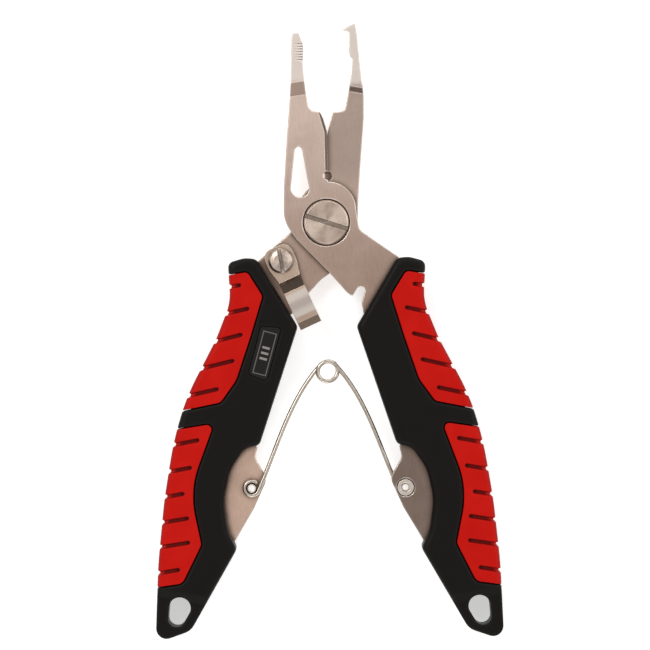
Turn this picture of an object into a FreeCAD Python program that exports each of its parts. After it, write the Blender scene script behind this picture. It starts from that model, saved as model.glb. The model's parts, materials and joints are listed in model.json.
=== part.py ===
import FreeCAD, Part
import math
import os

V = FreeCAD.Vector
os.makedirs("parts", exist_ok=True)

# Everything is drawn about the pivot axis, joint plane at z = 0, jaws towards +Y,
# and moved at the end so the origin is the middle of the base of the whole tool.

# steel members
plate_t = 2.75
joint_gap = 0.05
tip_half_t = 1.4
ramp_y0 = 34.2
ramp_y1 = 37.8
step_y0 = 35.2
step_y1 = 36.7
front_ramp_tilt = 8.5
rear_ramp_tilt = -10.0
right_turn = 1.0

# pivot
head_r = 6.1
head_proud = 0.4
bore_depth = 1.4
bore_r = 6.38
shoulder_r = 3.9
neck_r = 2.8
nut_r = 5.6
nut_t = 1.3
running = 0.05
slot_w = 1.3
slot_deep = 0.9
slot_angle = -17.4
washer_in = 4.0
washer_out = 5.8
washer_half_t = 0.2

# stop hole and cutter
stop_x = 0.38
stop_y = 12.6
stop_r = 1.16
stop_floor = -1.6
bevel_w = 0.75
bevel_h = 0.5

# serration
tooth_pitch = 0.72
tooth_count = 7
tooth_y0 = 43.9
tooth_run = 2.2
tooth_sink = 0.35

# grips
grip_half_t = 5.5
grip_round = 1.6
tab_half_t = 4.5
insert_wall = 2.0
core_half_t = 3.7
seam = 0.25
groove_w = 1.05
groove_deep = 0.6

# latch
latch_x = -12.23
latch_y = -10.31
latch_angle = -65.0
latch_t = 0.9
latch_low = 0.33
latch_high = 3.05
latch_half_w = 3.05
latch_head_r = 4.0
latch_bore_r = 1.9
tab_s = 18.4
tab_half_w = 1.3
latch_screw_r = 3.35
latch_thread_r = 1.5

# spring
wire_r = 0.6
eye_mean_r = 1.9
coil_mean_r = 2.75
coil_x = 0.46
coil_y = -40.3
layer_z = 0.65
eye_z = 0.7
leg_lean = 9.0
wire_wrap = 286
pin_x = -20.1
pin_y = -71.7
pin_r = 1.05
pin_bore_r = 0.84
pin_flange_r = 2.2
pin_flange_t = 0.4
pin_flare = 0.46
pin_seat_r = 2.45
pin_seat = 0.3

plate_top = joint_gap + plate_t


def corner_wire(corners, z=0.0):
    # closed wire of straight lines, each corner (x, y, r) rounded by an arc of radius r
    n = len(corners)
    radii = [c[2] if len(c) > 2 else 0.0 for c in corners]
    stops = []
    for i, c in enumerate(corners):
        p = V(c[0], c[1], z)
        r = radii[i]
        if r == 0.0:
            stops.append((p, None, p))
            continue
        before = V(corners[i - 1][0], corners[i - 1][1], z) - p
        after = V(corners[(i + 1) % n][0], corners[(i + 1) % n][1], z) - p
        half = before.getAngle(after) / 2
        # a side is shared with the next corner only where that corner is rounded too
        share_before = 0.49 if radii[i - 1] > 0 else 0.99
        share_after = 0.49 if radii[(i + 1) % n] > 0 else 0.99
        run = min(r / math.tan(half), share_before * before.Length, share_after * after.Length)
        r = run * math.tan(half)
        u = V(before).normalize()
        w = V(after).normalize()
        mid_way = (u + w).normalize()
        mid = p + mid_way * (r / math.sin(half) - r)
        stops.append((p + u * run, mid, p + w * run))
    edges = []
    for i in range(n):
        a, mid, b = stops[i]
        if mid is not None:
            edges.append(Part.Arc(a, mid, b).toShape())
        nxt = stops[(i + 1) % n][0]
        if (nxt - b).Length > 1e-6:
            edges.append(Part.LineSegment(b, nxt).toShape())
    return Part.Wire(Part.__sortEdges__(edges))


def flat(corners, z=0.0):
    return Part.Face(corner_wire(corners, z))


def slab(corners, z0, z1):
    return flat(corners, z0).extrude(V(0, 0, z1 - z0))


def disc(r, z0, z1, x=0.0, y=0.0):
    return Part.makeCylinder(r, z1 - z0, V(x, y, z0))


def ring(r_out, r_in, z0, z1, x=0.0, y=0.0):
    return disc(r_out, z0, z1, x, y).cut(disc(r_in, z0 - 1, z1 + 1, x, y))


def capsule(x0, y0, r0, x1, y1, r1, z0, z1):
    # hull of two circles, extruded
    p = V(x0, y0, z0)
    q = V(x1, y1, z0)
    d = (q - p).Length
    way = (q - p).normalize()
    side = V(-way.y, way.x, 0)
    lean = (r0 - r1) / d
    flank = math.sqrt(1 - lean * lean)
    up = way * lean + side * flank
    down = way * lean - side * flank
    edges = [
        Part.Arc(p + up * r0, p - way * r0, p + down * r0).toShape(),
        Part.LineSegment(p + down * r0, q + down * r1).toShape(),
        Part.Arc(q + down * r1, q + way * r1, q + up * r1).toShape(),
        Part.LineSegment(q + up * r1, p + up * r0).toShape(),
    ]
    return Part.Face(Part.Wire(edges)).extrude(V(0, 0, z1 - z0))


def turned(profile, x=0.0, y=0.0):
    # solid of revolution from (r, z) points about a vertical axis
    pts = [V(r, 0, z) for r, z in profile]
    face = Part.Face(Part.makePolygon(pts + pts[:1]))
    solid = face.revolve(V(0, 0, 0), V(0, 0, 1), 360)
    solid.translate(V(x, y, 0))
    return solid


def bar(length, width, z0, z1, angle, x=0.0, y=0.0):
    # centred rectangular bar lying at an angle
    box = Part.makeBox(length, width, z1 - z0, V(-length / 2, -width / 2, z0))
    box.rotate(V(0, 0, 0), V(0, 0, 1), angle)
    box.translate(V(x, y, 0))
    return box


def fillet_rims(solid, r, z_levels):
    rims = []
    for e in solid.Edges:
        b = e.BoundBox
        if b.ZLength < 1e-6 and any(abs(b.ZMin - z) < 1e-6 for z in z_levels):
            rims.append(e)
    return solid.makeFillet(r, rims)


def to_right(shape):
    other = shape.mirror(V(0, 0, 0), V(1, 0, 0))
    other.rotate(V(0, 0, 0), V(0, 0, 1), right_turn)
    return other


def to_right_points(corners):
    c = math.cos(math.radians(right_turn))
    s = math.sin(math.radians(right_turn))
    out = []
    for p in corners:
        out.append((-p[0] * c - p[1] * s, -p[0] * s + p[1] * c) + tuple(p[2:]))
    return out


def side_profile(points):
    # (y, z) outline run across the whole width
    pts = [V(-60, y, z) for y, z in points]
    return Part.Face(Part.makePolygon(pts + pts[:1])).extrude(V(120, 0, 0))


# tang of the left grip, from the top of the grip down the outside and up the wing
left_tang_outer = [
    (-20.6, -12.8, 3.0),
    (-21.8, -16.0, 3.0),
    (-22.2, -26.0, 8.0),
    (-33.2, -48.0, 30.0),
    (-38.4, -70.0, 40.0),
    (-40.0, -90.0, 20.0),
    (-40.0, -96.0, 2.0),
    (-36.0, -99.0, 2.0),
    (-31.5, -97.0, 2.0),
    (-25.6, -87.6, 2.0),
]
left_wing = [
    (-19.5, -77.2, 12.0),
    (-15.9, -69.0, 3.4),
    (-19.3, -63.6, 2.6),
    (-18.6, -60.6, 1.0),
    (-20.6, -57.6, 2.0),
]
left_tang_inner = [
    (-12.6, -32.4, 4.0),
    (-12.0, -27.0, 4.0),
]

front_outline = [
    (-9.5, 51.15, 1.1),
    (-7.5, 51.15, 0.8),
    (-6.2, 47.9, 2.2),
    (-6.3, 43.5, 12.0),
    (-5.95, 38.5, 20.0),
    (-5.5, 34.9, 20.0),
    (-4.6, 30.1, 1.6),
    (-1.75, 29.75, 0.5),
    (-0.85, 28.0, 4.0),
    (0.2, 24.4, 0.0),
    (0.45, 14.0, 0.0),
    (0.46, 10.96, 0.0),
    (8.02, 10.96, 7.56),
    (8.02, 3.4, 0.0),
    (8.95, -2.1, 2.0),
    (19.6, -9.4, 2.0),
]
front_outline += to_right_points(left_tang_outer + left_wing + [(-20.0, -55.0, 3.0)])
front_outline += [
    (12.8, -32.0, 4.0),
    (10.2, -25.2, 2.0),
    (9.5, -21.6, 2.5),
    (10.7, -17.5, 0.7),
    (8.5, -17.4, 0.5),
    (6.95, -19.95, 0.5),
    (5.6, -18.9, 3.0),
    (0.9, -13.6, 8.0),
    (-8.4, -4.3, 14.0),
    (-11.5, 0.6, 9.0),
    (-11.45, 9.3, 20.0),
    (-10.6, 24.0, 60.0),
    (-9.75, 35.5, 30.0),
    (-9.55, 46.6, 60.0),
]

rear_outline = [
    (7.55, 53.75, 0.4),
    (4.35, 52.1, 0.25),
    (4.75, 51.6, 0.15),
    (6.1, 51.4, 0.5),
    (5.95, 46.9, 3.0),
    (6.25, 45.0, 0.5),
    (6.9, 44.1, 0.5),
    (6.75, 42.2, 3.0),
    (6.15, 36.5, 20.0),
    (4.95, 30.1, 1.4),
    (1.6, 29.75, 0.5),
    (0.3, 24.2, 0.0),
    (-0.5, 19.6, 0.0),
    (-0.46, 10.4, 0.0),
    (-6.8, 9.7, 6.3),
    (-7.5, -0.7, 2.0),
    (-18.4, -10.4, 2.0),
]
rear_outline += left_tang_outer + left_wing + left_tang_inner
rear_outline += [
    (-8.8, -24.2, 1.5),
    (-6.3, -20.7, 3.0),
    (-1.6, -15.5, 3.0),
    (0.9, -13.7, 3.0),
    (8.4, -2.5, 6.0),
    (8.55, 4.5, 20.0),
    (9.1, 13.5, 60.0),
    (10.15, 27.8, 40.0),
    (10.15, 34.4, 8.0),
    (9.3, 41.0, 60.0),
    (8.35, 50.6, 40.0),
    (7.9, 53.2, 0.5),
]

grip_outline = [
    (-26.5, -10.9, 1.8),
    (-22.0, -9.6, 6.0),
    (-18.7, -9.9, 2.6),
    (-7.7, -28.1, 1.8),
    (-18.0, -60.0, 1.8),
    (-21.9, -60.7, 6.0),
    (-25.9, -66.6, 12.0),
    (-27.6, -74.8, 16.0),
    (-26.4, -83.4, 12.0),
    (-24.0, -87.9, 2.0),
    (-36.4, -109.9, 4.5),
    (-45.9, -113.3, 2.8),
    (-45.2, -92.0, 120.0),
    (-43.6, -74.9, 120.0),
    (-41.1, -58.9, 90.0),
    (-37.6, -47.0, 60.0),
    (-29.6, -31.4, 30.0),
    (-25.8, -21.5, 14.0),
]

upper_insert_outline = [
    (-34.0, -15.6),
    (-21.2, -13.4, 1.4),
    (-17.1, -19.9, 1.6),
    (-20.4, -31.0, 60.0),
    (-24.2, -42.6, 7.0),
    (-28.4, -48.5, 2.0),
    (-48.0, -52.6),
    (-48.0, -30.0),
]
lower_insert_outline = [
    (-52.0, -57.7),
    (-30.1, -54.1, 1.3),
    (-35.5, -69.0, 30.0),
    (-35.8, -76.0, 24.0),
    (-33.5, -86.7, 2.2),
    (-38.6, -97.1, 2.4),
    (-54.0, -99.3),
]
upper_grooves = [
    (-26.3, -17.4, -23.4, -17.0),
    (-26.0, -24.4, -21.2, -23.3),
    (-28.4, -31.7, -23.0, -30.3),
    (-32.5, -39.1, -25.2, -37.3),
    (-35.9, -46.4, -29.4, -44.9),
]
lower_grooves = [
    (-40.2, -59.7, -34.6, -58.6),
    (-41.4, -66.9, -36.6, -66.0),
    (-42.5, -73.7, -38.6, -73.0),
    (-43.3, -80.6, -37.4, -79.6),
    (-43.9, -87.2, -37.1, -86.1),
    (-44.4, -94.2, -39.8, -93.4),
]
badge_outline = [
    (-17.6, -28.0, 1.0),
    (-12.0, -28.3, 1.0),
    (-15.9, -42.8, 1.0),
    (-21.0, -40.9, 1.0),
]


def cutter_bevel(x0, y0, x1, y1, side, z_face, z_cut):
    # wedge that bevels the outer face of a cutting edge running between two points
    p = V(x0, y0, z_face)
    q = V(x1, y1, z_face)
    across = V(-(q - p).y, (q - p).x, 0).normalize() * side
    a = p - across * 2
    b = p + across * bevel_w
    sink = V(0, 0, z_cut)
    tri = [a, b, p + sink, a + sink]
    return Part.Face(Part.makePolygon(tri + tri[:1])).extrude(q - p)


def teeth(x_edge):
    # V grooves that start on each face and deepen towards the gripping edge
    grooves = []
    for i in range(tooth_count):
        y = tooth_y0 + i * tooth_pitch
        x = x_edge - tooth_run
        for s in (-1, 1):
            face = s * tip_half_t
            tri = [
                V(x, y, face - s * 0.06),
                V(x, y - 0.42, face + s * 0.5),
                V(x, y + 0.42, face + s * 0.5),
            ]
            way = V(tooth_run + 0.4, 0, -s * tooth_sink)
            grooves.append(Part.Face(Part.makePolygon(tri + tri[:1])).extrude(way))
    return grooves


def front_jaw():
    side = side_profile([
        (-120, joint_gap),
        (ramp_y0 - 0.6, joint_gap),
        (ramp_y1 - 0.6, -tip_half_t),
        (60, -tip_half_t),
        (60, tip_half_t),
        (ramp_y1, tip_half_t),
        (ramp_y0, plate_top),
        (-120, plate_top),
    ])
    side.rotate(V(-7.5, 36, 0), V(0, 0, 1), front_ramp_tilt)
    body = slab(front_outline, -4, 4).common(side)
    body = body.cut(disc(bore_r, plate_top - bore_depth, 5))
    body = body.cut(disc(shoulder_r + running, -5, 5))
    body = body.cut(disc(washer_out + 0.1, -1, washer_half_t + 0.03))
    body = body.cut(disc(stop_r, -5, 5, stop_x, stop_y))
    # teardrop window that lightens the blade
    body = body.cut(capsule(-7.5, 19.4, 0.95, -7.08, 9.15, 2.42, -5, 5))
    body = body.cut(cutter_bevel(0.45, 13.9, 0.2, 24.4, 1, plate_top, -bevel_h))
    body = body.cut(cutter_bevel(0.2, 24.4, -1.35, 29.6, 1, plate_top, -bevel_h))
    for groove in teeth(-6.25):
        body = body.cut(groove)
    pin_hole = to_right(disc(pin_r, -5, 5, pin_x, pin_y))
    flange_seat = to_right(disc(pin_seat_r, plate_top - pin_seat, 5, pin_x, pin_y))
    return body.cut(pin_hole).cut(flange_seat)


def rear_jaw():
    side = side_profile([
        (-120, -plate_top),
        (ramp_y0, -plate_top),
        (ramp_y1, -tip_half_t),
        (60, -tip_half_t),
        (60, tip_half_t),
        (step_y1, tip_half_t),
        (step_y0, -joint_gap),
        (-120, -joint_gap),
    ])
    side.rotate(V(7.5, 36, 0), V(0, 0, 1), rear_ramp_tilt)
    body = slab(rear_outline, -4, 4).common(side)
    body = body.cut(disc(shoulder_r, -5, 5))
    body = body.cut(disc(washer_out + 0.1, -washer_half_t, 1))
    body = body.cut(disc(stop_r, stop_floor, 5, stop_x, stop_y))
    body = body.cut(cutter_bevel(-0.5, 19.6, 1.5, 29.3, -1, -plate_top, bevel_h))
    body = body.cut(disc(pin_r, -5, 5, pin_x, pin_y))
    body = body.cut(disc(pin_seat_r, -5, pin_seat - plate_top, pin_x, pin_y))
    return body.cut(disc(latch_thread_r, -5, 5, latch_x, latch_y))


def pivot_screw():
    under = plate_top - bore_depth + 0.03
    top = plate_top + head_proud
    body = turned([
        (0, top),
        (head_r - 0.5, top),
        (head_r, top - 0.5),
        (head_r, under),
        (shoulder_r, under),
        (shoulder_r, -plate_top),
        (neck_r, -plate_top),
        (neck_r, -plate_top - nut_t - 0.1),
        (0, -plate_top - nut_t - 0.1),
    ])
    return body.cut(bar(20, slot_w, top - slot_deep, top + 1, slot_angle))


def pivot_nut():
    low = -plate_top - nut_t
    body = turned([
        (neck_r, -plate_top),
        (nut_r, -plate_top),
        (nut_r, low + 0.45),
        (nut_r - 0.45, low),
        (neck_r, low),
    ])
    # two driver notches on the rim
    for x in (-nut_r, nut_r):
        body = body.cut(bar(2.4, 1.4, low - 1, low + 0.8, 0, x, 0))
    return body


def pivot_washer():
    return ring(washer_out, washer_in, -washer_half_t, washer_half_t)


def place_latch(shape):
    shape.rotate(V(0, 0, 0), V(0, 0, 1), latch_angle)
    shape.translate(V(latch_x, latch_y, 0))
    return shape


def latch_lever():
    # side outline of the bent strip along its length, then its plan outline
    low = latch_low
    high = latch_high
    t = latch_t
    end = tab_s + t
    side = [
        (-5, low, 0),
        (6.0, low, 0.5),
        (9.0, high - 0.1, 0.5),
        (13.0, high + 0.35, 9.0),
        (tab_s - 0.15, high - 0.15, 0.3),
        (tab_s, 0.45, 0),
        (end, 0.45, 0),
        (end, high + t - 0.72, 0.12),
        (17.3, high + t - 0.08, 0.6),
        (13.0, high + t + 0.4, 10.0),
        (8.5, high + t - 0.1, 0.6),
        (5.5, low + t, 0.5),
        (-5, low + t, 0),
    ]
    strip = flat(side).extrude(V(0, 0, 9))
    strip.rotate(V(0, 0, 0), V(1, 0, 0), 90)
    strip.translate(V(0, 4.5, 0))
    w = latch_half_w
    r = latch_head_r
    plan = [
        (-r, -r, r),
        (1.2, -r, 2.0),
        (5.4, -w, 4.0),
        (end + 1, -w, 0),
        (end + 1, w, 0),
        (5.4, w, 4.0),
        (1.2, r, 2.0),
        (-r, r, r),
    ]
    strip = strip.common(slab(plan, 0, 6))
    # only the middle of the turned-down end reaches into the notch
    for y in (-1, 1):
        low_y = tab_half_w if y > 0 else -tab_half_w - 4
        trim = Part.makeBox(4, 4, 2.92, V(tab_s - 0.3, low_y, 0))
        strip = strip.cut(trim)
    strip = strip.cut(disc(latch_bore_r, -1, 3))
    return place_latch(strip)


def latch_washer():
    return ring(3.1, latch_bore_r, -joint_gap, latch_low - 0.03, latch_x, latch_y)


def latch_screw():
    base = latch_low + latch_t + 0.03
    r = latch_screw_r
    body = turned([
        (0, base + 1.25),
        (r * 0.55, base + 1.15),
        (r * 0.85, base + 0.85),
        (r, base + 0.4),
        (r, base),
        (latch_bore_r - running, base),
        (latch_bore_r - running, -joint_gap),
        (latch_thread_r, -joint_gap),
        (latch_thread_r, -plate_top + 0.1),
        (0, -plate_top + 0.1),
    ], latch_x, latch_y)
    return body.cut(bar(8, 1.1, base + 0.45, base + 3, -80, latch_x, latch_y))


def bent_round(centre, start, way, turn, degrees):
    # wire bent round a vertical axis, from a start point where it runs along way
    section = Part.Face(Part.Wire(Part.makeCircle(wire_r, start, way)))
    return section.revolve(centre, V(0, 0, 1), turn * degrees)


def wire_half(px, py, side, z_eye, z_coil):
    # one half of the return spring: eye round the pin, bowed leg, turn at the coil
    pin = V(px, py, z_eye)
    coil = V(coil_x, coil_y, z_coil)
    chord = V(coil.x - pin.x, coil.y - pin.y, 0).normalize()
    out = V(-chord.y, chord.x, 0) * side
    lean = math.radians(leg_lean)
    from_eye = chord * math.cos(lean) + out * math.sin(lean)
    to_coil = chord * math.cos(lean) - out * math.sin(lean)
    inward = V(from_eye.y, -from_eye.x, 0) * side
    outward = V(-to_coil.y, to_coil.x, 0) * side
    start = pin + inward * eye_mean_r
    stop = coil + outward * coil_mean_r
    reach = (stop - start).Length / 3
    leg = Part.BezierCurve()
    leg.setPoles([start, start + from_eye * reach, stop - to_coil * reach, stop])
    path = Part.Wire(leg.toShape())
    section = Part.Wire(Part.makeCircle(wire_r, start, from_eye))
    middle = path.makePipeShell([section], True, False)
    eye = bent_round(pin, start, from_eye, -side, wire_wrap)
    turn = bent_round(coil, stop, to_coil, -side, wire_wrap)
    return eye.fuse(middle).fuse(turn)


def spring_pin():
    # hollow rivet: flange seated in the wing's far face, small flared lip past the spring eye
    low = pin_seat - plate_top - pin_flange_t
    high = eye_z + wire_r + 0.45
    body = turned([
        (pin_bore_r, low + pin_flare),
        (pin_bore_r + pin_flare, low),
        (pin_flange_r, low),
        (pin_flange_r, low + pin_flange_t),
        (pin_r, low + pin_flange_t),
        (pin_r, high - 0.35),
        (pin_r + 0.1, high - 0.25),
        (pin_r + 0.1, high),
        (pin_bore_r, high),
    ], pin_x, pin_y)
    return body


def grip_block(shrink):
    face = flat(grip_outline, -grip_half_t + shrink)
    if shrink > 0:
        face = face.makeOffset2D(-shrink)
    solid = face.extrude(V(0, 0, 2 * (grip_half_t - shrink)))
    if solid.ShapeType != "Solid":
        solid = solid.Solids[0]
    rim = grip_half_t - shrink
    return fillet_rims(solid, grip_round - shrink, (-rim, rim))


def grip_core():
    face = flat(grip_outline, -core_half_t).makeOffset2D(-insert_wall)
    return face.extrude(V(0, 0, 2 * core_half_t))


def tab_trims():
    # thins the lanyard end from both sides
    trims = []
    for s in (-1, 1):
        pts = [
            V(-70, -99.5, s * (grip_half_t + 0.01)),
            V(-70, -102.0, s * tab_half_t),
            V(-70, -120.0, s * tab_half_t),
            V(-70, -120.0, s * (grip_half_t + 2)),
            V(-70, -99.5, s * (grip_half_t + 2)),
        ]
        trim = Part.Face(Part.makePolygon(pts + pts[:1])).extrude(V(60, 0, 0))
        trim.rotate(V(-38, -99, 0), V(0, 0, 1), -10)
        trims.append(trim)
    return trims


def insert(outline, grooves, block, core, inner_block):
    body = block.common(slab(outline, -8, 8)).cut(core)
    for x0, y0, x1, y1 in grooves:
        way = V(x1 - x0, y1 - y0, 0).normalize() * 3
        r = groove_w / 2
        cutter = capsule(x0 - way.x, y0 - way.y, r, x1, y1, r * 0.98, -8, 8)
        body = body.cut(cutter.cut(inner_block))
    return body


def grip_black(block, core, pockets):
    body = block
    for outline in pockets:
        cavity = flat(outline, -8).makeOffset2D(seam).extrude(V(0, 0, 16))
        body = body.cut(cavity.cut(core))
    for trim in tab_trims():
        body = body.cut(trim)
    hole = capsule(-39.4, -103.8, 2.95, -40.25, -106.6, 2.3, -8, 8)
    body = body.cut(hole)
    return body


def single(shape):
    # the one solid a piece is made of
    solids = shape.removeSplitter().Solids
    return max(solids, key=lambda s: s.Volume) if len(solids) > 1 else solids[0]


def build():
    front = single(front_jaw())
    rear = single(rear_jaw())
    block = grip_block(0.0)
    inner_block = grip_block(groove_deep)
    core = grip_core()
    upper = insert(upper_insert_outline, upper_grooves, block, core, inner_block)
    lower = insert(lower_insert_outline, lower_grooves, block, core, inner_block)
    black = grip_black(block, core, (upper_insert_outline, lower_insert_outline))
    recess = slab(badge_outline, grip_half_t - 0.7, 8)
    badge = flat(badge_outline, grip_half_t - 0.7).makeOffset2D(-0.12).extrude(V(0, 0, 0.6))
    right_pin = to_right_points([(pin_x, pin_y)])[0]
    nodes = {
        "front_jaw": front,
        "rear_jaw": rear,
        "pivot_screw": pivot_screw(),
        "pivot_nut": pivot_nut(),
        "pivot_washer": pivot_washer(),
        "latch_lever": latch_lever(),
        "latch_washer": latch_washer(),
        "latch_screw": latch_screw(),
        "spring_left": wire_half(pin_x, pin_y, 1, eye_z, -layer_z),
        "spring_right": wire_half(right_pin[0], right_pin[1], -1, -eye_z, layer_z),
        "spring_pin_left": spring_pin(),
        "spring_pin_right": to_right(spring_pin().mirror(V(0, 0, 0), V(0, 0, 1))),
        "left_grip": black.cut(rear).cut(recess),
        "right_grip": to_right(black).cut(front),
        "left_upper_insert": upper,
        "left_lower_insert": lower,
        "right_upper_insert": to_right(upper),
        "right_lower_insert": to_right(lower),
        "badge": badge,
    }
    return nodes, right_pin


nodes, right_pin = build()
nodes = {name: single(shape) for name, shape in nodes.items()}
whole = Part.makeCompound(list(nodes.values())).optimalBoundingBox(False)
move = V(-(whole.XMin + whole.XMax) / 2, -(whole.YMin + whole.YMax) / 2, -whole.ZMin)
for name, shape in nodes.items():
    shape.translate(move)
    shape.exportStep("parts/" + name + ".step")
    print(name, "valid", shape.isValid(), "volume", round(shape.Volume, 1), shape.ShapeType)

size = (whole.XLength, whole.YLength, whole.ZLength)
print("size", [round(v, 3) for v in size])
places = {
    "pivot": (0, 0),
    "latch screw": (latch_x, latch_y),
    "spring coil": (coil_x, coil_y),
    "left pin": (pin_x, pin_y),
    "right pin": right_pin,
}
for name, (x, y) in places.items():
    print(name, [round(x + move.x, 4), round(y + move.y, 4), round(move.z, 4)])
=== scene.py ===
import json
import math

import bpy
import numpy as np
from mathutils import Matrix, Vector


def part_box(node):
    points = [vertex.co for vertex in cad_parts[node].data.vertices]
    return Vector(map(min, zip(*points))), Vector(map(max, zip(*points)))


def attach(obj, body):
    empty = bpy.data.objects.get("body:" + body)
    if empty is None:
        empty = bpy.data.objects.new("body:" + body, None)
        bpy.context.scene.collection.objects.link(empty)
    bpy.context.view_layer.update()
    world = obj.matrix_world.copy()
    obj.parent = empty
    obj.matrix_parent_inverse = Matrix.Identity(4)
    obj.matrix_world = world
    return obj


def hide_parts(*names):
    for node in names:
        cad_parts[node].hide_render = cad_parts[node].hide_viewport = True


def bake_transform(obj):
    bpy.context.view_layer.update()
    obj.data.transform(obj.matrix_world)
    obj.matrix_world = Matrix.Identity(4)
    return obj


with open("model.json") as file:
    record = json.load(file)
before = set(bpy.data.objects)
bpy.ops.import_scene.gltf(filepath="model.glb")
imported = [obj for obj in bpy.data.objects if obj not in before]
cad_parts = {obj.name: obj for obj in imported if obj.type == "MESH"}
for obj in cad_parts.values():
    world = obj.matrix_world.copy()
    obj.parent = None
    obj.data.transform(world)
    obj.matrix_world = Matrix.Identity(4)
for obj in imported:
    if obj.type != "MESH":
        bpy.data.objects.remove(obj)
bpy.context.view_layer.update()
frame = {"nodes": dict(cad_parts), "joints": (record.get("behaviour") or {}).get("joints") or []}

nodes = frame["nodes"]
joints = {j["name"]: j for j in frame["joints"]}
pivotPoint = Vector(joints["jaw_pivot"]["pos_m"])
latchPoint = Vector(joints["latch_swing"]["pos_m"])
coilPoint = Vector(joints["spring_coil"]["pos_m"])
mm = 0.001
print("frame loaded:", len(nodes), "nodes")


def middleOf(node):
    low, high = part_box(node)
    return (low + high) / 2


class Wire:
    # a socket that takes part in plain Python sums
    def __init__(self, surface, socket):
        self.surface = surface
        self.socket = socket

    def maths(self, operation, *others, clamp=False):
        settings = {"operation": operation, "use_clamp": clamp}
        values = {i: v for i, v in enumerate((self, *others))}
        return self.surface.node("ShaderNodeMath", settings, values)

    def __add__(self, other):
        return self.maths("ADD", other)

    def __radd__(self, other):
        return self.maths("ADD", other)

    def __sub__(self, other):
        return self.maths("SUBTRACT", other)

    def __rsub__(self, other):
        return self.surface.node("ShaderNodeMath", {"operation": "SUBTRACT"}, {0: other, 1: self})

    def __mul__(self, other):
        return self.maths("MULTIPLY", other)

    def __rmul__(self, other):
        return self.maths("MULTIPLY", other)

    def size(self):
        return self.maths("ABSOLUTE")

    def larger(self, other):
        return self.maths("MAXIMUM", other)

    def clamped(self):
        return self.maths("ADD", 0.0, clamp=True)

    def between(self, low, high):
        # 0 below low, 1 above high, smooth in between
        settings = {"interpolation_type": "SMOOTHSTEP"}
        sockets = {"Value": self, "From Min": low, "From Max": high}
        return self.surface.node("ShaderNodeMapRange", settings, sockets)

    def band(self, rise, full, fall, gone):
        # 1 from full to fall, 0 below rise and above gone
        return self.between(rise, full) * (1.0 - self.between(fall, gone))


class Surface:
    # one material and the nodes in it
    def __init__(self, name, **fixed):
        self.material = bpy.data.materials.new(name)
        self.material.use_nodes = True
        self.tree = self.material.node_tree
        self.tree.nodes.clear()
        shader = self.node("ShaderNodeBsdfPrincipled")
        self.shader = shader.socket.node
        self.node("ShaderNodeOutputMaterial", None, {"Surface": shader})
        self.set(**fixed)

    def feed(self, socket, value):
        if isinstance(value, Wire):
            self.tree.links.new(value.socket, socket)
        elif hasattr(socket.default_value, "__len__") and len(socket.default_value) == 4:
            socket.default_value = (*value[:3], 1.0)  # a colour is given without its alpha
        else:
            socket.default_value = value

    def node(self, kind, settings=None, sockets=None, output=0):
        made = self.tree.nodes.new(kind)
        for name, value in (settings or {}).items():
            setattr(made, name, value)
        for name, value in (sockets or {}).items():
            self.feed(made.inputs[name], value)
        return Wire(self, made.outputs[output]) if made.outputs else None

    def place(self):
        # object position in millimetres
        here = self.node("ShaderNodeTexCoord", output="Object")
        return self.vector("SCALE", here, Scale=1000.0)

    def vector(self, operation, a, b=None, output=0, **more):
        sockets = {0: a}
        if b is not None:
            sockets[1] = b
        sockets.update(more)
        return self.node("ShaderNodeVectorMath", {"operation": operation}, sockets, output)

    def turned(self, vector, angle, scale):
        # coordinates turned about Z then stretched, for a grain that runs one way
        sockets = {"Vector": vector, "Rotation": (0, 0, -math.radians(angle))}
        spun = self.node("ShaderNodeMapping", {"vector_type": "POINT"}, sockets)
        return self.vector("MULTIPLY", spun, scale)

    def noise(self, vector, scale, detail=2.0, roughness=0.5, distortion=0.0):
        sockets = {"Vector": vector, "Scale": scale, "Detail": detail}
        sockets.update({"Roughness": roughness, "Distortion": distortion})
        return self.node("ShaderNodeTexNoise", {"noise_dimensions": "3D"}, sockets)

    def mix(self, factor, a, b, blend="MIX"):
        # sockets 0, 6 and 7 are the factor and the two colours, output 2 the mixed colour
        settings = {"data_type": "RGBA", "blend_type": blend}
        return self.node("ShaderNodeMix", settings, {0: factor, 6: a, 7: b}, 2)

    def bump(self, height, depth, strength=1.0, normal=None):
        sockets = {"Height": height, "Distance": depth * mm, "Strength": strength}
        if normal is not None:
            sockets["Normal"] = normal
        return self.node("ShaderNodeBump", None, sockets)

    def softEdge(self, radius):
        return self.node("ShaderNodeBevel", {"samples": 6}, {"Radius": radius * mm})

    def edgeWear(self, rounded, gain=7.0):
        # 1 where the rounded normal leaves the flat one
        flat = self.node("ShaderNodeNewGeometry", output="Normal")
        return ((1.0 - self.vector("DOT_PRODUCT", rounded, flat, output="Value")) * gain).clamped()

    def parts(self, vector):
        # the three numbers of a vector
        first = self.node("ShaderNodeSeparateXYZ", None, {0: vector})
        return [Wire(self, out) for out in first.socket.node.outputs]

    def crevice(self, reach):
        # 0 deep in a corner or slot, 1 in the open
        sockets = {"Distance": reach * mm}
        return self.node("ShaderNodeAmbientOcclusion", {"samples": 6}, sockets, "AO")

    def lean(self, output="True Normal"):
        # 0 on level faces, 1 on upright ones; the output Normal takes the smoothed faces
        return 1.0 - self.parts(self.node("ShaderNodeNewGeometry", output=output))[2].size()

    def set(self, **values):
        for name, value in values.items():
            self.feed(self.shader.inputs[name.replace("_", " ")], value)


def give(node, surface):
    data = nodes[node].data
    data.materials.clear()
    data.materials.append(surface.material)


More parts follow.
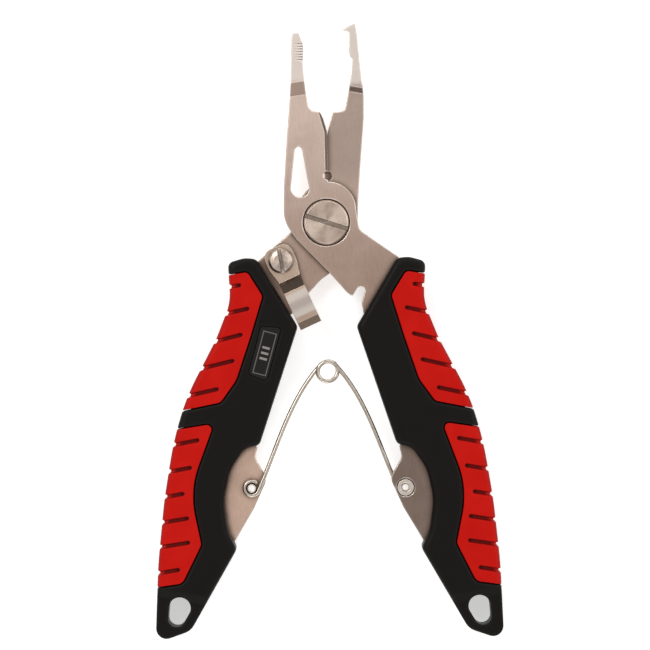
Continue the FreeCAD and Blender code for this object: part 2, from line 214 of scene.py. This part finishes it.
plateSteel = {
    "light": (0.76, 0.615, 0.535),
    "dark": (0.56, 0.44, 0.375),
    "edge": (1.0, 0.93, 0.87),
    "rampShade": (0.21, 0.15, 0.12),
    "creviceShade": (0.10, 0.070, 0.055),
    "roughLow": 0.26,
    "roughHigh": 0.40,
    "grainAcross": 9.0,
    "grainAlong": 0.35,
    "edgeRound": 0.6,
    "noseFrom": 0,
    "noseRun": 1.5,
    "noseHighlight": (0.98, 0.90, 0.84),
    "blade": (34, 46, 66, 67.5),
    "bladeShade": 0.0,
    "armToJaw": (5, 62),
    "armShading": (0.74, 0.66, 0.62),
    "jawShading": (1.22, 1.22, 1.24),
    "wingToArm": (-24, -16),
    "wingShading": (0.44, 0.41, 0.40),
    "creviceReach": 1.8,
    "bevelShade": (0.05, 0.036, 0.03),
    "bevelShare": 0.7,
    "crown": None,
}
latchCrown = {
    "direction": -65,
    "bright": (8.8, 9.8, 15.4, 16.2),
    "middle": (10.6, 12.2, 13.0, 15.0),
    "middleReflection": (0.50, 0.42, 0.41),
    "end": (15.5, 16.5),
    "endPaler": 0.26,
}


def brushedSteel(name, look, angle):
    s = Surface(name, Metallic=1.0, Specular_IOR_Level=0.5)
    here = s.place()
    lines = s.turned(here, angle, (look["grainAcross"], look["grainAlong"], look["grainAcross"]))
    grain = s.noise(lines, 1.0, 4.0, 0.6)
    fine = s.noise(here, 5.5, 2.0, 0.6)
    cloud = s.noise(here, 0.11, 3.0, 0.55, 0.4)
    rounded = s.softEdge(look["edgeRound"])
    wearAndGlint = s.edgeWear(rounded)
    tone = grain * 0.38 + fine * 0.17 + cloud * 0.45
    colour = s.mix(tone.between(0.36, 0.64), look["dark"], look["light"])
    along = s.parts(here)[1]
    # painted shading: darker towards the arms, lighter towards the jaws, darker on the front wing and
    # lighter on the rear wing
    shading = s.mix(along.between(*look["armToJaw"]), look["armShading"], look["jawShading"])
    shading = s.mix(along.between(*look["wingToArm"]), look["wingShading"], shading)
    colour = s.mix(1.0, colour, shading, "MULTIPLY")
    if look["noseFrom"]:
        # painted highlight: the nose is painted brighter
        noseHighlight = along.between(look["noseFrom"], look["noseFrom"] + look["noseRun"])
        colour = s.mix(noseHighlight * 0.8, colour, look["noseHighlight"])
    if look["bladeShade"]:
        # painted shade across the rear blade beside the front plate
        colour = s.mix(along.band(*look["blade"]) * look["bladeShade"], colour, look["rampShade"])
    # pressed joggles lean a little, ground bevels lean more; painted shade darkens every leaning face
    lean = s.lean()
    upright = lean.between(0.24, 0.36)
    slopeShade = lean.between(0.008, 0.045) * (1.0 - upright) * 0.88
    if look["crown"]:
        # painted highlight on both sides of the bent crown's middle, a painted reflection tone in its
        # middle, and less painted shade on its turned-down end
        crown = look["crown"]
        fromScrew = s.vector("SUBTRACT", here, tuple(c / mm for c in latchPoint))
        reach = s.parts(s.turned(fromScrew, crown["direction"], (1, 1, 1)))[0]
        colour = s.mix(reach.band(*crown["bright"]) * 0.8, colour, look["edge"])
        colour = s.mix(reach.band(*crown["middle"]) * 0.55, colour, crown["middleReflection"])
        slopeShade = slopeShade * (1.0 - reach.between(*crown["end"]) * crown["endPaler"])
    # painted shade on the leaning faces
    colour = s.mix(slopeShade, colour, look["rampShade"])
    if look["bevelShare"]:
        # painted shade, deeper again, on the steep bevels
        steepShade = lean.between(0.10, 0.16) * (1.0 - upright)
        colour = s.mix(steepShade * look["bevelShare"], colour, look["bevelShade"])
    # worn bright edges together with a painted highlight along the rounded edges
    colour = s.mix(wearAndGlint * 0.85, colour, look["edge"])
    # painted shade in corners, slots and where parts meet
    colour = s.mix(s.crevice(look["creviceReach"]).between(0.93, 0.40) * 0.85, colour, look["creviceShade"])
    rough = look["roughLow"] + (look["roughHigh"] - look["roughLow"]) * tone.between(0.7, 0.3)
    height = grain * 0.7 + fine * 0.3
    s.set(Base_Color=colour, Roughness=rough - wearAndGlint * 0.08, Normal=s.bump(height, 0.012, 0.6, rounded))
    return s


turnedSteel = {
    "light": (0.99, 0.83, 0.72),
    "dark": (0.50, 0.385, 0.32),
    "creviceShade": (0.09, 0.065, 0.05),
    "rings": 5.0,
    "ringShare": 0.35,
    "roughness": 0.22,
    "depth": 0.014,
    "sweep": 0.65,
}


def latheSteel(name, look, centre):
    # lathe-turned face: fine rings about the piece's own axis, with a painted sheen in broad sectors round
    # it
    s = Surface(name, Metallic=1.0)
    here = s.place()
    offset = s.vector("MULTIPLY", s.vector("SUBTRACT", here, tuple(c / mm for c in centre)), (1, 1, 0))
    radius = s.vector("LENGTH", offset, output="Value")
    x, y, _ = s.parts(s.vector("NORMALIZE", offset))
    twice, across = x * x - y * y, x * y * 2.0
    paintedSheen = (twice * 0.55 + across * 0.60 + (twice * across) * 1.5) * 0.5 + 0.5
    sockets = {"W": radius * look["rings"], "Scale": 1.0, "Detail": 3.0}
    rings = s.node("ShaderNodeTexNoise", {"noise_dimensions": "1D"}, sockets)
    smear = s.noise(here, 0.6, 2.0)
    rounded = s.softEdge(0.2)
    wearAndGlint = s.edgeWear(rounded)
    tone = rings * look["ringShare"] + smear * (1 - look["ringShare"])
    # painted sheen in sectors mixed with the ring tone
    shade = tone.between(0.3, 0.7) * (1 - look["sweep"]) + paintedSheen.clamped() * look["sweep"]
    colour = s.mix(shade, look["dark"], look["light"])
    # worn bright edges together with a painted highlight along the rounded edges
    colour = s.mix(wearAndGlint * 0.6, colour, (0.95, 0.86, 0.78))
    # painted shade in corners, slots and where parts meet
    colour = s.mix(s.crevice(1.2).between(0.92, 0.45) * 0.9, colour, look["creviceShade"])
    rough = look["roughness"] + rings * 0.12
    s.set(Base_Color=colour, Roughness=rough, Normal=s.bump(rings, look["depth"], 0.7, rounded))
    return s


frontPlate = dict(plateSteel, noseFrom=66.5)
rearPlate = dict(plateSteel, noseFrom=65.4, bladeShade=0.40, wingShading=(1.15, 1.03, 0.96))
give("front_jaw", brushedSteel("frontPlateSteel", frontPlate, 6))
give("rear_jaw", brushedSteel("rearPlateSteel", rearPlate, -8))

stripSteel = dict(
    plateSteel,
    light=(0.88, 0.69, 0.56),
    dark=(0.64, 0.48, 0.38),
    rampShade=(0.010, 0.0075, 0.006),
    roughLow=0.15,
    roughHigh=0.24,
    grainAcross=7.0,
    edgeRound=0.2,
    armShading=(1, 1, 1),
    jawShading=(1, 1, 1),
    wingShading=(1, 1, 1),
    bevelShare=0,
)
give("latch_lever", brushedSteel("stripSteel", dict(stripSteel, crown=latchCrown), 26))
give("latch_washer", brushedSteel("washerSteel", stripSteel, 0))
for node in ("pivot_screw", "pivot_nut", "pivot_washer"):
    give(node, latheSteel(node + "Steel", turnedSteel, pivotPoint))
screwSteel = dict(
    turnedSteel,
    light=(0.86, 0.74, 0.65),
    dark=(0.36, 0.28, 0.235),
    ringShare=0.1,
    roughness=0.27,
    depth=0.004,
    sweep=0.45,
)
give("latch_screw", latheSteel("latchScrewSteel", screwSteel, latchPoint))
pinSteel = dict(
    turnedSteel,
    light=(0.97, 0.90, 0.84),
    dark=(0.74, 0.65, 0.58),
    roughness=0.16,
    sweep=0.2,
)
for node in ("spring_pin_left", "spring_pin_right"):
    give(node, latheSteel(node + "Steel", pinSteel, middleOf(node)))
print("steel done")


springShape = {
    "wireRadius": 0.6,
    "eyeRadius": 1.9,
    "coilRadius": 2.75,
    "lean": 9.0,
    "eyeWrap": 286,
    "eyeHeight": 0.7,
    "layer": 0.65,
    "lowerShift": (-0.16, 0.34),
    "around": 18,
}


def tube(name, points, radius, around):
    # a round wire swept along a smooth run of points, with softly rounded ends
    pts = np.array([tuple(p) for p in points])
    ahead = np.gradient(pts, axis=0)
    ahead /= np.linalg.norm(ahead, axis=1)[:, None]
    verts, faces = [], []
    up = np.array((0.0, 0.0, 1.0))
    caps = [(k, radius * math.sqrt(1 - k * k)) for k in (0.97, 0.8, 0.45)]
    stations = [(pts[0] - ahead[0] * radius * 0.6 * k, ahead[0], r) for k, r in caps]
    stations += [(p, a, radius) for p, a in zip(pts, ahead)]
    stations += [(pts[-1] + ahead[-1] * radius * 0.6 * k, ahead[-1], r) for k, r in reversed(caps)]
    for p, a, r in stations:
        side = np.cross(up, a)
        side /= np.linalg.norm(side)
        top = np.cross(a, side)
        for k in range(around):
            t = 2 * math.pi * k / around
            verts.append(p + side * (r * math.cos(t)) + top * (r * math.sin(t)))
    for i in range(len(stations) - 1):
        for k in range(around):
            n = (k + 1) % around
            faces.append((i * around + k, i * around + n, (i + 1) * around + n, (i + 1) * around + k))
    faces.append(tuple(reversed(range(around))))
    last = (len(stations) - 1) * around
    faces.append(tuple(last + k for k in range(around)))
    mesh = bpy.data.meshes.new(name)
    mesh.from_pydata([tuple(v) for v in verts], [], faces)
    mesh.shade_smooth()
    made = bpy.data.objects.new(name, mesh)
    bpy.context.scene.collection.objects.link(made)
    return made


def legEnds(pin, side, heightEye, heightCoil):
    # where one leg leaves its eye and where it meets the coil, with the directions there
    shape = springShape
    pinHere = Vector((pin.x, pin.y, coilPoint.z + heightEye * mm))
    coilHere = Vector((coilPoint.x, coilPoint.y, coilPoint.z + heightCoil * mm))
    chord = Vector((coilHere.x - pinHere.x, coilHere.y - pinHere.y, 0)).normalized()
    out = Vector((-chord.y, chord.x, 0)) * side
    lean = math.radians(shape["lean"])
    fromEye = chord * math.cos(lean) + out * math.sin(lean)
    toCoil = chord * math.cos(lean) - out * math.sin(lean)
    inward = Vector((fromEye.y, -fromEye.x, 0)) * side
    outward = Vector((-toCoil.y, toCoil.x, 0)) * side
    return {
        "pin": pinHere,
        "coil": coilHere,
        "inward": inward,
        "outward": outward,
        "start": pinHere + inward * shape["eyeRadius"] * mm,
        "stop": coilHere + outward * shape["coilRadius"] * mm,
        "fromEye": fromEye,
        "toCoil": toCoil,
    }


def eyeAndLeg(pin, side, heightEye, heightCoil):
    e = legEnds(pin, side, heightEye, heightCoil)
    points = []
    for i in range(40):
        turn = math.radians(springShape["eyeWrap"]) * (1 - i / 40)
        arm = Matrix.Rotation(-side * turn, 3, "Z") @ e["inward"]
        points.append(e["pin"] + arm * springShape["eyeRadius"] * mm)
    reach = (e["stop"] - e["start"]).length / 3
    a, b, c, d = e["start"], e["start"] + e["fromEye"] * reach, e["stop"] - e["toCoil"] * reach, e["stop"]
    for i in range(41):
        t = i / 40
        points.append(a * (1 - t) ** 3 + b * 3 * t * (1 - t) ** 2 + c * 3 * t * t * (1 - t) + d * t ** 3)
    return points, e


def springPath():
    left, l = eyeAndLeg(middleOf("spring_pin_left"), 1, springShape["eyeHeight"], -springShape["layer"])
    right, r = eyeAndLeg(middleOf("spring_pin_right"), -1, -springShape["eyeHeight"], springShape["layer"])
    begin = math.atan2(l["outward"].y, l["outward"].x)
    end = math.atan2(r["outward"].y, r["outward"].x)
    sweep = (begin - end) % (2 * math.pi) + 2 * math.pi
    flat = (sweep - 2 * math.pi) / sweep
    turn = []
    for i in range(1, 90):
        t = i / 90
        angle = begin - sweep * t
        climb = min(max((t - flat) / (1 - 2 * flat), 0), 1)
        climb = climb * climb * (3 - 2 * climb)
        height = (2 * climb - 1) * springShape["layer"]
        # the lower turn lies a little off the upper one
        off = (1 - climb) * min(1, t * 5) ** 2 * mm
        x, y = springShape["lowerShift"]
        spoke = Vector((math.cos(angle), math.sin(angle), 0)) * springShape["coilRadius"] * mm
        arm = spoke + Vector((x, y, 0)) * off
        turn.append(Vector((coilPoint.x, coilPoint.y, coilPoint.z + height * mm)) + arm)
    return left + turn + list(reversed(right))


springWire = {
    "dark": (0.50, 0.44, 0.38),
    "light": (0.72, 0.66, 0.59),
    "roughLow": 0.16,
    "roughMore": 0.14,
    "grain": 2.5,
}


def drawnWire():
    look = springWire
    s = Surface("drawnWire", Metallic=1.0)
    draw = s.noise(s.place(), look["grain"], 3.0, 0.6)
    colour = s.mix(draw.between(0.3, 0.7), look["dark"], look["light"])
    rough = look["roughLow"] + draw * look["roughMore"]
    s.set(Base_Color=colour, Roughness=rough, Normal=s.bump(draw, 0.01, 0.4))
    return s


spring = tube("returnSpring", springPath(), springShape["wireRadius"] * mm, springShape["around"])
spring.data.materials.append(drawnWire().material)
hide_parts("spring_left", "spring_right")
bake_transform(spring)
print("spring done")


blackGrip = {
    "colour": (0.0062, 0.0057, 0.0052),
    "wearAndSheen": (0.0125, 0.0117, 0.0108),
    "hollowShade": (0.004, 0.0035, 0.003),
    "side": (0.0026, 0.0023, 0.0020),
    "roughLow": 0.36,
    "roughHigh": 0.52,
    "spark": 2.6,
}
redInsert = {
    "colour": (0.49, 0.0045, 0.0020),
    "hollowShade": (0.05, 0.0012, 0.0010),
    "pale": (0.56, 0.0075, 0.0035),
    "side": (0.17, 0.0026, 0.0016),
    "roughLow": 0.40,
    "roughHigh": 0.55,
}
moulding = {
    "gripVoxel": 0.24,
    "insertVoxel": 0.17,
    "smoothing": 6,
    "hollowReach": 26,
    "hollowDepth": 0.25,
}


def softened(node, voxel, rounds):
    # the CAD piece remeshed and eased so that every moulded edge is slightly rounded
    made = bpy.data.objects.new(node + "Moulded", nodes[node].data.copy())
    bpy.context.scene.collection.objects.link(made)
    remesh = made.modifiers.new("even", "REMESH")
    remesh.mode = "VOXEL"
    remesh.voxel_size = voxel * mm
    ease = made.modifiers.new("ease", "SMOOTH")
    ease.factor = 0.5
    ease.iterations = rounds
    bpy.context.view_layer.update()
    ready = bpy.data.meshes.new_from_object(made.evaluated_get(bpy.context.evaluated_depsgraph_get()))
    made.modifiers.clear()
    made.data = ready
    ready.shade_smooth()
    return made


def paintHollows(piece, rounds, depth):
    # stores how far each point lies below the eased shape: positive in grooves, negative on ridges
    data = piece.data
    count = len(data.vertices)
    co = np.empty(count * 3, np.float32)
    data.vertices.foreach_get("co", co)
    co = co.reshape(-1, 3).astype(float)
    normal = np.empty(count * 3, np.float32)
    data.vertex_normals.foreach_get("vector", normal)
    normal = normal.reshape(-1, 3)
    edges = np.empty(len(data.edges) * 2, np.int32)
    data.edges.foreach_get("vertices", edges)
    a, b = edges.reshape(-1, 2).T
    links = np.bincount(a, minlength=count) + np.bincount(b, minlength=count)
    eased = co.copy()
    for _ in range(rounds):
        near = [np.bincount(a, eased[b, k], count) + np.bincount(b, eased[a, k], count) for k in range(3)]
        eased = eased * 0.4 + np.stack(near, 1) / links[:, None] * 0.6
    hollow = ((eased - co) * normal).sum(1) / (depth * mm)
    layer = data.attributes.new("hollow", "FLOAT", "POINT")
    layer.data.foreach_set("value", np.clip(hollow, -1, 1).astype(np.float32))


def blackPlastic():
    look = blackGrip
    s = Surface("blackMouldedGrip", Specular_IOR_Level=0.10)
    here = s.place()
    hollow = s.node("ShaderNodeAttribute", {"attribute_name": "hollow"}, output="Fac")
    spark = s.noise(here, look["spark"], 3.0, 0.6)
    cloud = s.noise(here, 0.12, 2.0)
    ridge = (hollow * -1.0).between(0.1, 0.9)
    # ridges lighter: rubbed wear together with a painted highlight
    colour = s.mix(ridge * 0.6 + cloud * 0.15, look["colour"], look["wearAndSheen"])
    # painted shade in the grooves and seams
    colour = s.mix(hollow.between(0.15, 0.8), colour, look["hollowShade"])
    # painted shade on the sloping sides, darker as they turn away from level
    colour = s.mix(s.lean("Normal").between(0.04, 0.55) * 0.75, colour, look["side"])
    rough = look["roughLow"] + (look["roughHigh"] - look["roughLow"]) * spark.between(0.3, 0.7)
    s.set(Base_Color=colour, Roughness=rough, Normal=s.bump(spark, 0.02, 0.5))
    return s


def redRubber():
    look = redInsert
    s = Surface("redRubberInsert", Specular_IOR_Level=0.09)
    here = s.place()
    hollow = s.node("ShaderNodeAttribute", {"attribute_name": "hollow"}, output="Fac")
    grain = s.noise(here, 3.2, 3.0, 0.6)
    cloud = s.noise(here, 0.15, 2.0)
    colour = s.mix(cloud.between(0.3, 0.7) * 0.6, look["colour"], look["pale"])
    # painted shade in the grooves and seams
    colour = s.mix(hollow.between(0.12, 0.6), colour, look["hollowShade"])
    # painted shade on the sloping sides, darker as they turn away from level
    colour = s.mix(s.lean("Normal").between(0.05, 0.6) * 0.7, colour, look["side"])
    rough = look["roughLow"] + (look["roughHigh"] - look["roughLow"]) * grain.between(0.3, 0.7)
    s.set(Base_Color=colour, Roughness=rough, Normal=s.bump(grain, 0.02, 0.4))
    return s


blackSurface = blackPlastic()
redSurface = redRubber()
for node in ("left_grip", "right_grip"):
    grip = softened(node, moulding["gripVoxel"], moulding["smoothing"])
    paintHollows(grip, moulding["hollowReach"], moulding["hollowDepth"])
    grip.data.materials.clear()
    grip.data.materials.append(blackSurface.material)
    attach(grip, "front_half" if node == "right_grip" else "rear_half")
    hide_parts(node)
for node in ("left_upper_insert", "left_lower_insert", "right_upper_insert", "right_lower_insert"):
    insert = softened(node, moulding["insertVoxel"], moulding["smoothing"])
    paintHollows(insert, moulding["hollowReach"], moulding["hollowDepth"])
    insert.data.materials.clear()
    insert.data.materials.append(redSurface.material)
    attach(insert, "front_half" if node.startswith("right") else "rear_half")
    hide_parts(node)
print("grips done")


badgePlate = {
    "lean": -14.9,
    "frame": (1.75, 5.75),
    "line": 0.13,
    "bars": (-1.5, 0.0, 1.5),
    "barHalf": (1.0, 0.30),
    "silver": (0.40, 0.385, 0.365),
    "frameShare": 0.42,
}


def badgePlastic():
    # gloss black plate with a plain silver frame and three plain bars
    look = badgePlate
    s = Surface("badgePlastic", Specular_IOR_Level=0.35)
    here = s.place()
    middle = s.vector("SUBTRACT", here, tuple(c / mm for c in middleOf("badge")))
    across, along, _ = s.parts(s.turned(middle, look["lean"], (1, 1, 1)))
    frameLine = (across.size() - look["frame"][0]).larger(along.size() - look["frame"][1])
    silver = (1.0 - frameLine.size().between(look["line"] * 0.6, look["line"] * 1.2)) * look["frameShare"]
    for height in look["bars"]:
        bar = (across.size() - look["barHalf"][0]).larger((along - height).size() - look["barHalf"][1])
        silver = silver.larger(1.0 - bar.between(-0.05, 0.05))
    speck = s.noise(here, 1.4, 2.0)
    black = s.mix(speck, (0.0022, 0.0021, 0.0020), (0.0055, 0.005, 0.0045))
    rough = 0.16 + speck * 0.1 + silver * 0.12
    relief = s.bump(silver + speck * 0.1, 0.03, 0.5, s.softEdge(0.2))
    s.set(Base_Color=s.mix(silver, black, look["silver"]), Metallic=silver, Roughness=rough, Normal=relief)
    return s


give("badge", badgePlastic())
print("badge done")


studio = {
    "floor": (0.93, 0.945, 0.96),
    "world": 0.60,
    "floorGlow": 0.50,
    "floorHalf": 1.5,
    "floorDrop": 0.15,
    "height": 0.9,
    "frameWidth": 0.1755,
    "centre": (-1.30, 1.57),
}


def floorSurface():
    s = Surface("paleFloor", Specular_IOR_Level=0.1, Roughness=0.9)
    here = s.place()
    s.set(Base_Color=s.mix(s.noise(here, 0.01, 2.0), studio["floor"], (0.95, 0.96, 0.97)))
    s.set(Emission_Color=(1.0, 1.0, 1.0), Emission_Strength=studio["floorGlow"])
    return s


def layFloor():
    mesh = bpy.data.meshes.new("floor")
    half, low = studio["floorHalf"], -studio["floorDrop"] * mm
    corners = [(x * half, y * half, low) for x, y in ((-1, -1), (1, -1), (1, 1), (-1, 1))]
    mesh.from_pydata(corners, [], [(0, 1, 2, 3)])
    floor = bpy.data.objects.new("floor", mesh)
    bpy.context.scene.collection.objects.link(floor)
    mesh.materials.append(floorSurface().material)


def softLight(name, place, size, power, warmth=(1, 1, 1)):
    lamp = bpy.data.lights.new(name, "AREA")
    lamp.shape = "RECTANGLE"
    lamp.size, lamp.size_y = size
    lamp.energy = power
    lamp.color = warmth
    made = bpy.data.objects.new(name, lamp)
    bpy.context.scene.collection.objects.link(made)
    made.location = place
    made.rotation_mode = "QUATERNION"
    made.rotation_quaternion = Vector(place).to_track_quat("Z", "Y")  # faces the object


def setCamera():
    data = bpy.data.cameras.new("camera")
    camera = bpy.data.objects.new("camera", data)
    bpy.context.scene.collection.objects.link(camera)
    data.sensor_width = 36.0
    data.lens = 36.0 * studio["height"] / studio["frameWidth"]
    data.clip_start, data.clip_end = 0.05, 10.0
    x, y = studio["centre"]
    camera.location = (x * mm, y * mm, pivotPoint.z + studio["height"])
    bpy.context.scene.camera = camera


def setWorld():
    world = bpy.data.worlds.new("studio")
    world.use_nodes = True
    back = world.node_tree.nodes["Background"]
    back.inputs[0].default_value = (1.0, 0.97, 0.935, 1.0)
    back.inputs[1].default_value = studio["world"]
    bpy.context.scene.world = world
    bpy.context.scene.view_settings.view_transform = "Standard"


layFloor()
softLight("keyBox", (-0.50, 0.42, 0.78), (0.55, 0.4), 3.0, (1.0, 0.98, 0.95))
softLight("rightBox", (0.85, 0.15, 0.66), (0.8, 0.6), 2.1)
softLight("frontBox", (-0.1, -0.9, 0.62), (0.8, 0.6), 2.0)
softLight("backBox", (0.2, 0.95, 0.6), (0.8, 0.6), 1.8)
setWorld()
setCamera()
print("studio done")
